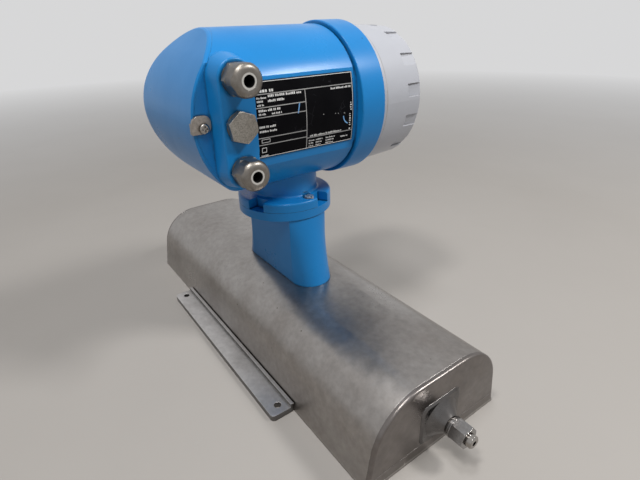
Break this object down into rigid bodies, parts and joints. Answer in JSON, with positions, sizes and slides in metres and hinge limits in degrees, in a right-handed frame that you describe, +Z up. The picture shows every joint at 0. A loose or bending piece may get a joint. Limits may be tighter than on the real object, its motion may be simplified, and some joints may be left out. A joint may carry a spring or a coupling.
{
  "type": "coriolis mass flow meter",
  "caption": "Coriolis mass flow meter: flat stainless casing with a looped measuring tube, pipe ports at both ends, and a turnable blue transmitter on a pedestal.",
  "frame": {"origin": "middle of the base plate's underside, on the surface that the meter rests on", "axes": "+X along the pipe axis towards the inlet port, +Y towards the display, +Z up"},
  "size_m": [0.5038, 0.2277, 0.314],
  "materials": {
    "stainless_sheet": "satin, welded",
    "stainless_turned": "turned",
    "coil": "wound copper wire",
    "magnet": "plain",
    "blue_paint": "semi-gloss powder coat",
    "grey_white_paint": "semi-gloss powder coat",
    "nickel": "satin nickel plate",
    "rubber": "matt",
    "cable_seal": "matt pale",
    "label": "black plate with pale lines",
    "glass": "clear",
    "board": "circuit board",
    "dark_plastic": "moulded",
    "pale_plastic": "moulded"
  },
  "bodies": {
    "sensor": {"base_plate": "stainless_sheet", "casing_hood": "stainless_sheet", "inlet_end_plate": "stainless_sheet", "outlet_end_plate": "stainless_sheet", "front_mounting_bar": "stainless_sheet", "rear_mounting_bar": "stainless_sheet", "inlet_port": "stainless_turned", "outlet_port": "stainless_turned", "inlet_port_stub": "stainless_turned", "outlet_port_stub": "stainless_turned", "port_seals": "rubber", "measuring_tube": "stainless_turned", "tube_carrier": "stainless_turned", "inlet_tube_clamp": "stainless_turned", "outlet_tube_clamp": "stainless_turned", "drive_coil": "coil", "drive_magnet": "magnet", "pickup_coils": "coil", "pickup_magnets": "magnet", "temperature_sensor": "stainless_turned", "coil_board": "board", "coil_board_pillars": "stainless_turned", "signal_lead": "dark_plastic", "pedestal": "blue_paint", "swivel_retaining_ring": "stainless_turned", "swivel_seal": "rubber", "feedthrough": "dark_plastic"},
    "inlet_nut": {"inlet_port_nut": "stainless_turned"},
    "outlet_nut": {"outlet_port_nut": "stainless_turned"},
    "transmitter": {"transmitter_housing": "blue_paint", "terminal_cover": "blue_paint", "terminal_cover_seal": "rubber", "cover_clamp": "nickel", "cover_clamp_screw": "nickel", "upper_gland_body": "nickel", "lower_gland_body": "nickel", "blanking_plug": "nickel", "entry_washers": "rubber", "swivel_lock_screws": "nickel", "nameplate": "label", "power_supply_board": "board", "input_output_board": "board", "amplifier_board": "board", "board_stack_posts": "nickel", "display_module": "dark_plastic", "terminal_block": "pale_plastic"},
    "front_cover_ring": {"front_cover_seal": "rubber"},
    "front_cover": {"front_cover": "grey_white_paint", "window_seal": "rubber", "window_glass": "glass", "window_retaining_ring": "stainless_turned"},
    "upper_gland_insert": {"upper_cable_seal": "cable_seal"},
    "upper_gland_nut": {"upper_gland_nut": "nickel"},
    "lower_gland_insert": {"lower_cable_seal": "cable_seal"},
    "lower_gland_nut": {"lower_gland_nut": "nickel"}
  },
  "joints": [
    {"name": "housing_swivel", "type": "hinge", "parent": "sensor", "child": "transmitter", "pos_m": [0, 0, 0.1526], "axis": [0, 0, 1], "range_deg": [-180, 180]},
    {"name": "front_cover_travel", "type": "slide", "parent": "transmitter", "child": "front_cover_ring", "axis": [0, 1, 0], "range_m": [0, 0.006]},
    {"name": "front_cover_turn", "type": "hinge", "parent": "front_cover_ring", "child": "front_cover", "pos_m": [0, 0.0693, 0.243], "axis": [0, 1, 0], "range_deg": [0, 1080]},
    {"name": "upper_gland_travel", "type": "slide", "parent": "transmitter", "child": "upper_gland_insert", "axis": [1, 0, 0], "range_m": [0, 0.003]},
    {"name": "upper_gland_turn", "type": "hinge", "parent": "upper_gland_insert", "child": "upper_gland_nut", "pos_m": [0.0731, -0.073, 0.2785], "axis": [1, 0, 0], "range_deg": [0, 720]},
    {"name": "lower_gland_travel", "type": "slide", "parent": "transmitter", "child": "lower_gland_insert", "axis": [1, 0, 0], "range_m": [0, 0.003]},
    {"name": "lower_gland_turn", "type": "hinge", "parent": "lower_gland_insert", "child": "lower_gland_nut", "pos_m": [0.0731, -0.073, 0.2105], "axis": [1, 0, 0], "range_deg": [0, 720]},
    {"name": "inlet_nut_turn", "type": "hinge", "parent": "sensor", "child": "inlet_nut", "pos_m": [0.24, 0, 0.032], "axis": [1, 0, 0], "continuous": true},
    {"name": "outlet_nut_turn", "type": "hinge", "parent": "sensor", "child": "outlet_nut", "pos_m": [-0.24, 0, 0.032], "axis": [-1, 0, 0], "continuous": true}
  ],
  "couplings": [
    {"joint": "front_cover_travel", "follows": "front_cover_turn", "m_per_rad": 0.000318},
    {"joint": "upper_gland_turn", "follows": "upper_gland_travel", "rad_per_m": 4188.7},
    {"joint": "lower_gland_turn", "follows": "lower_gland_travel", "rad_per_m": 4188.7}
  ]
}
